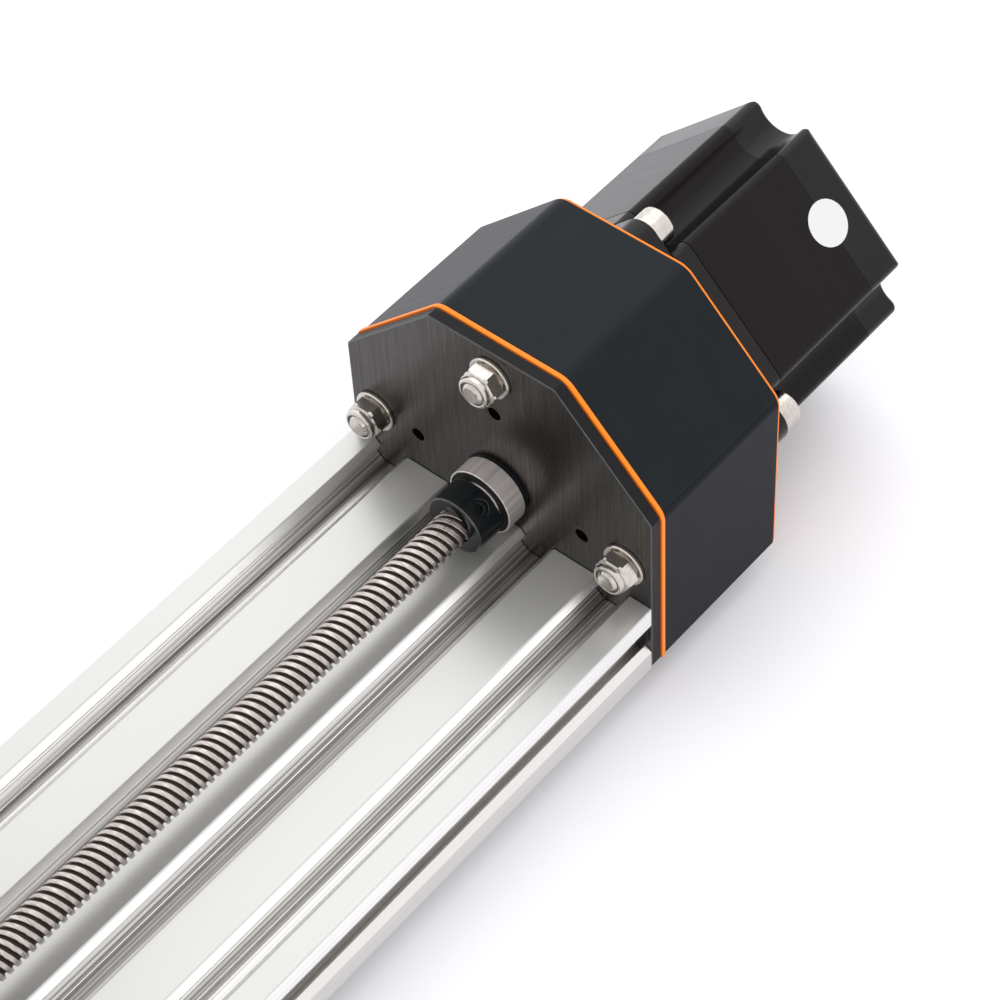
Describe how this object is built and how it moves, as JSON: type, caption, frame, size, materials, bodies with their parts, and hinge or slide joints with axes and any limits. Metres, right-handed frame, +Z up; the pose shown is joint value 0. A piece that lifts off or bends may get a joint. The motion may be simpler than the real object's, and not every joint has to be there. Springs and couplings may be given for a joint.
{
  "type": "lead screw linear module",
  "caption": "Slotted aluminium beam with a lead screw driven by a stepper motor through a coupler housing, moving a wheeled carriage plate.",
  "frame": {"origin": "middle of the beam's underside: half its length, half its width, on the plane of its bottom face", "axes": "+X across the beam to the side of the eccentric spacers, +Y along the beam and the screw towards the motor, +Z up from the beam's underside towards the screw"},
  "size_m": [0.1256, 0.362, 0.0785],
  "materials": {
    "clear_anodised": "satin clear anodised extrusion",
    "black_anodised": "satin black anodised, faintly brushed",
    "printed_black": "layer-printed plastic, fine layers across the housing's length",
    "printed_orange": "layer-printed plastic, thin flat sheet",
    "motor_black": "satin black cast aluminium",
    "lamination": "dark brown-black lacquered steel sheets",
    "copper_wire": "enamelled copper wire",
    "bearing_steel": "ground and polished",
    "bearing_seal": "moulded seal",
    "black_steel": "black oxide",
    "black_plastic": "moulded",
    "white_label": "bare paper-like film",
    "zinc_steel": "bright zinc plated",
    "stainless_steel": "rolled stainless steel",
    "white_acetal": "machined acetal",
    "black_acetal": "machined acetal"
  },
  "bodies": {
    "base": {"beam": "clear_anodised", "drive_end_plate": "black_anodised", "drive_plate_screws": "black_steel", "front_liner": "printed_orange", "coupler_housing": "printed_black", "rear_liner": "printed_orange", "motor_front_bell": "motor_black", "motor_stack": "lamination", "motor_rear_bell": "motor_black", "motor_windings": "copper_wire", "motor_bearings": "bearing_steel", "motor_case_screws": "black_steel", "motor_socket": "black_plastic", "motor_label": "white_label", "motor_bolts": "zinc_steel", "motor_washers": "zinc_steel", "motor_nuts": "zinc_steel", "drive_bearing_outer_rings": "bearing_steel", "drive_bearing_shields": "bearing_seal", "drive_bearing_balls": "bearing_steel", "drive_bearing_spacer": "black_steel", "idler_plate": "black_anodised", "idler_plate_screws": "black_steel", "idler_bearing_outer_ring": "bearing_steel", "idler_bearing_shields": "bearing_seal", "idler_bearing_balls": "bearing_steel"},
    "screw": {"lead_screw": "stainless_steel", "drive_lock_collar": "black_steel", "idler_lock_collar": "black_steel", "collar_set_screws": "black_steel", "bearing_inner_rings": "bearing_steel", "bearing_shims": "zinc_steel", "shaft_coupling": "clear_anodised", "coupling_screws": "black_steel", "motor_shaft": "stainless_steel", "motor_rotor": "lamination"},
    "carriage": {"gantry_plate": "black_anodised", "nut_block": "white_acetal", "nut_block_screws": "zinc_steel", "wheel_bolts": "zinc_steel", "wheel_nuts": "zinc_steel", "wheel_spacers": "clear_anodised", "eccentric_spacers": "stainless_steel", "wheel_shims": "zinc_steel", "wheel_inner_rings": "bearing_steel"},
    "wheel_front_left": {"wheel_front_left": "black_acetal", "wheel_front_left_bearings": "bearing_steel"},
    "wheel_front_right": {"wheel_front_right": "black_acetal", "wheel_front_right_bearings": "bearing_steel"},
    "wheel_rear_left": {"wheel_rear_left": "black_acetal", "wheel_rear_left_bearings": "bearing_steel"},
    "wheel_rear_right": {"wheel_rear_right": "black_acetal", "wheel_rear_right_bearings": "bearing_steel"}
  },
  "joints": [
    {"name": "screw_turn", "type": "hinge", "parent": "base", "child": "screw", "pos_m": [0, 0, 0.02975], "axis": [0, 1, 0], "range_deg": [-6830, 190]},
    {"name": "carriage_slide", "type": "slide", "parent": "base", "child": "carriage", "axis": [0, 1, 0], "range_m": [-0.004, 0.151]},
    {"name": "wheel_front_left_spin", "type": "hinge", "parent": "carriage", "child": "wheel_front_left", "pos_m": [-0.04983, -0.044, 0.01], "axis": [0, 0, 1], "range_deg": [-830, 830]},
    {"name": "wheel_front_right_spin", "type": "hinge", "parent": "carriage", "child": "wheel_front_right", "pos_m": [0.04983, -0.044, 0.01], "axis": [0, 0, 1], "range_deg": [-830, 830]},
    {"name": "wheel_rear_left_spin", "type": "hinge", "parent": "carriage", "child": "wheel_rear_left", "pos_m": [-0.04983, -0.104, 0.01], "axis": [0, 0, 1], "range_deg": [-830, 830]},
    {"name": "wheel_rear_right_spin", "type": "hinge", "parent": "carriage", "child": "wheel_rear_right", "pos_m": [0.04983, -0.104, 0.01], "axis": [0, 0, 1], "range_deg": [-830, 830]}
  ],
  "couplings": [
    {"joint": "screw_turn", "follows": "carriage_slide", "rad_per_m": -785.4},
    {"joint": "wheel_front_left_spin", "follows": "carriage_slide", "rad_per_m": -94.34},
    {"joint": "wheel_front_right_spin", "follows": "carriage_slide", "rad_per_m": 94.34},
    {"joint": "wheel_rear_left_spin", "follows": "carriage_slide", "rad_per_m": -94.34},
    {"joint": "wheel_rear_right_spin", "follows": "carriage_slide", "rad_per_m": 94.34}
  ]
}
